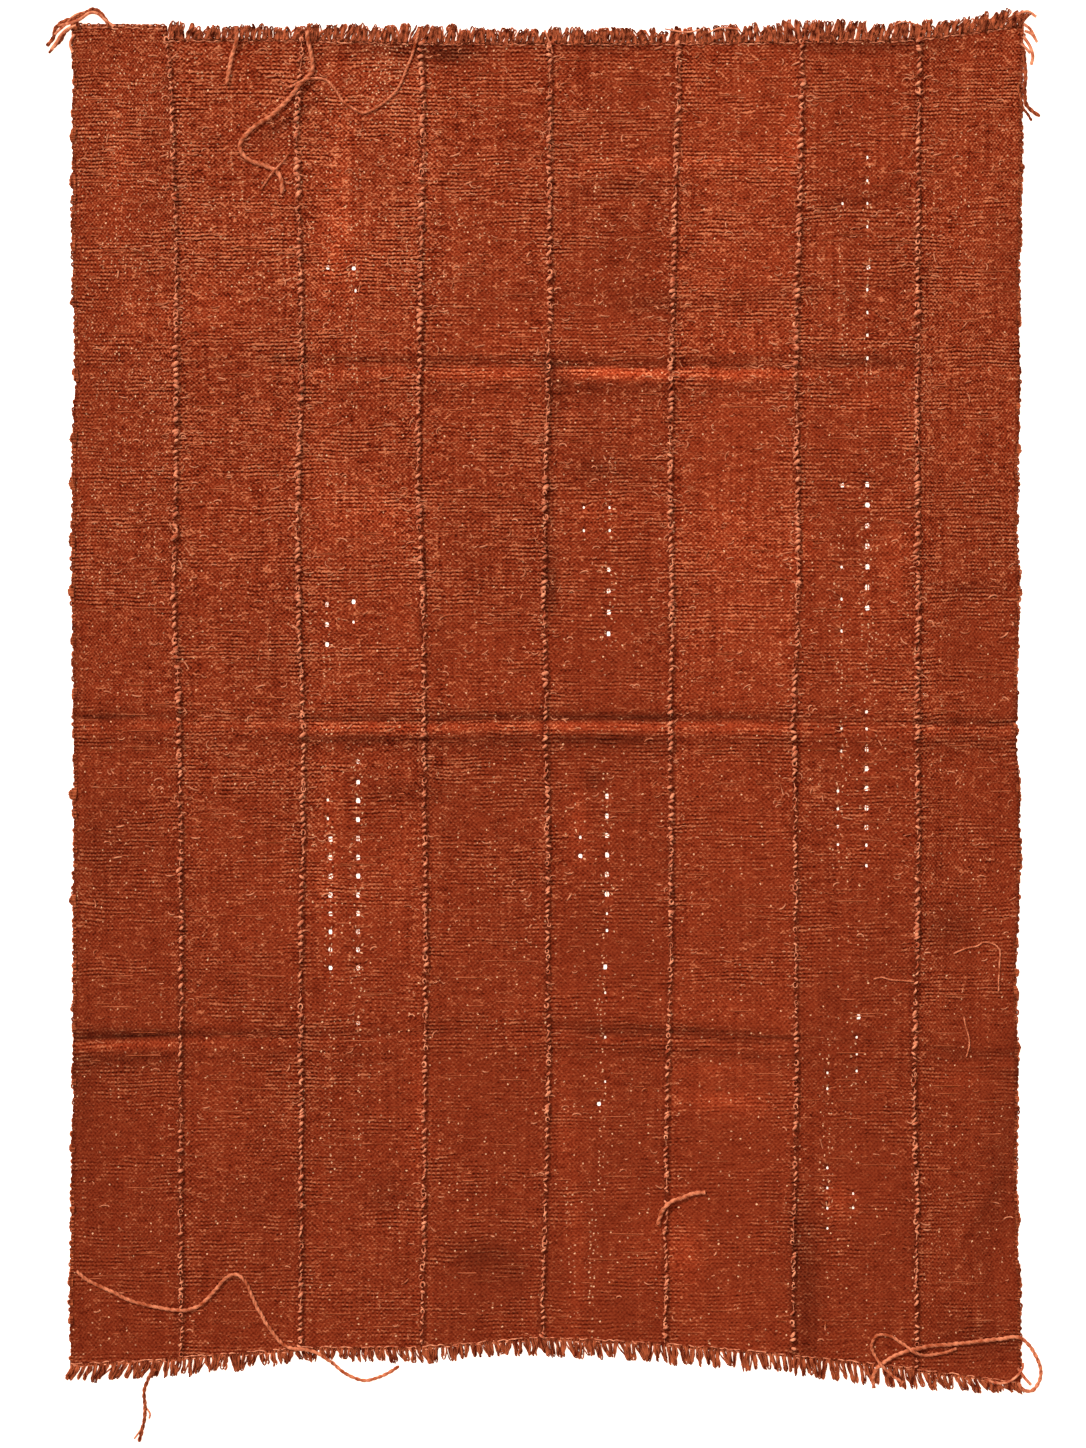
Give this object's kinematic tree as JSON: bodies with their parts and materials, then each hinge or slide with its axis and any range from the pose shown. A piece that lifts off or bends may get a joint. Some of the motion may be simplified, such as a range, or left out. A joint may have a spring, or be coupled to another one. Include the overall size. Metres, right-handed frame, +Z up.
{
  "type": "strip-woven mud cloth",
  "caption": "Rust-dyed handwoven cotton cloth of whip-stitched strips with short fringed ends, loose sewing yarns and open eyelets, lying flat and face up.",
  "frame": {"origin": "on the floor under the middle of the cloth and its fringe", "axes": "+X across the strips to the right as seen face on, +Y along the strips to the top end, +Z up from the floor out of the cloth's face"},
  "size_m": [1.1208, 1.6134, 0.0105],
  "materials": {
    "cloth": "matt",
    "sewing_yarn": "matt",
    "fringe": "matt",
    "loose_yarn": "matt"
  },
  "bodies": {
    "root": {"strip_1": "cloth", "strip_2": "cloth", "strip_3": "cloth", "strip_4": "cloth", "strip_5": "cloth", "strip_6": "cloth", "strip_7": "cloth", "strip_8": "cloth", "seam_1": "sewing_yarn", "seam_2": "sewing_yarn", "seam_3": "sewing_yarn", "seam_4": "sewing_yarn", "seam_5": "sewing_yarn", "seam_6": "sewing_yarn", "seam_7": "sewing_yarn", "fringe_top_2": "fringe", "fringe_top_3": "fringe", "fringe_top_4": "fringe", "fringe_top_5": "fringe", "fringe_top_6": "fringe", "fringe_top_7": "fringe", "fringe_top_8": "fringe", "fringe_bottom_1": "fringe", "fringe_bottom_2": "fringe", "fringe_bottom_3": "fringe", "fringe_bottom_4": "fringe", "fringe_bottom_5": "fringe", "fringe_bottom_6": "fringe", "fringe_bottom_7": "fringe", "fringe_bottom_8": "fringe", "yarn_seam_2": "loose_yarn", "yarn_seam_2_loop": "loose_yarn", "yarn_cross": "loose_yarn", "yarn_top_tail": "loose_yarn", "yarn_corner_tie": "loose_yarn", "yarn_corner_tie_short": "loose_yarn", "yarn_right_corner": "loose_yarn", "yarn_right_corner_short": "loose_yarn", "yarn_side_thread": "loose_yarn", "yarn_seam_7_thread": "loose_yarn", "yarn_lower_thread": "loose_yarn", "yarn_seam_5": "loose_yarn", "yarn_left_long": "loose_yarn", "yarn_hanging": "loose_yarn", "yarn_right_loop": "loose_yarn", "yarn_right_loop_inner": "loose_yarn"}
  },
  "joints": []
}
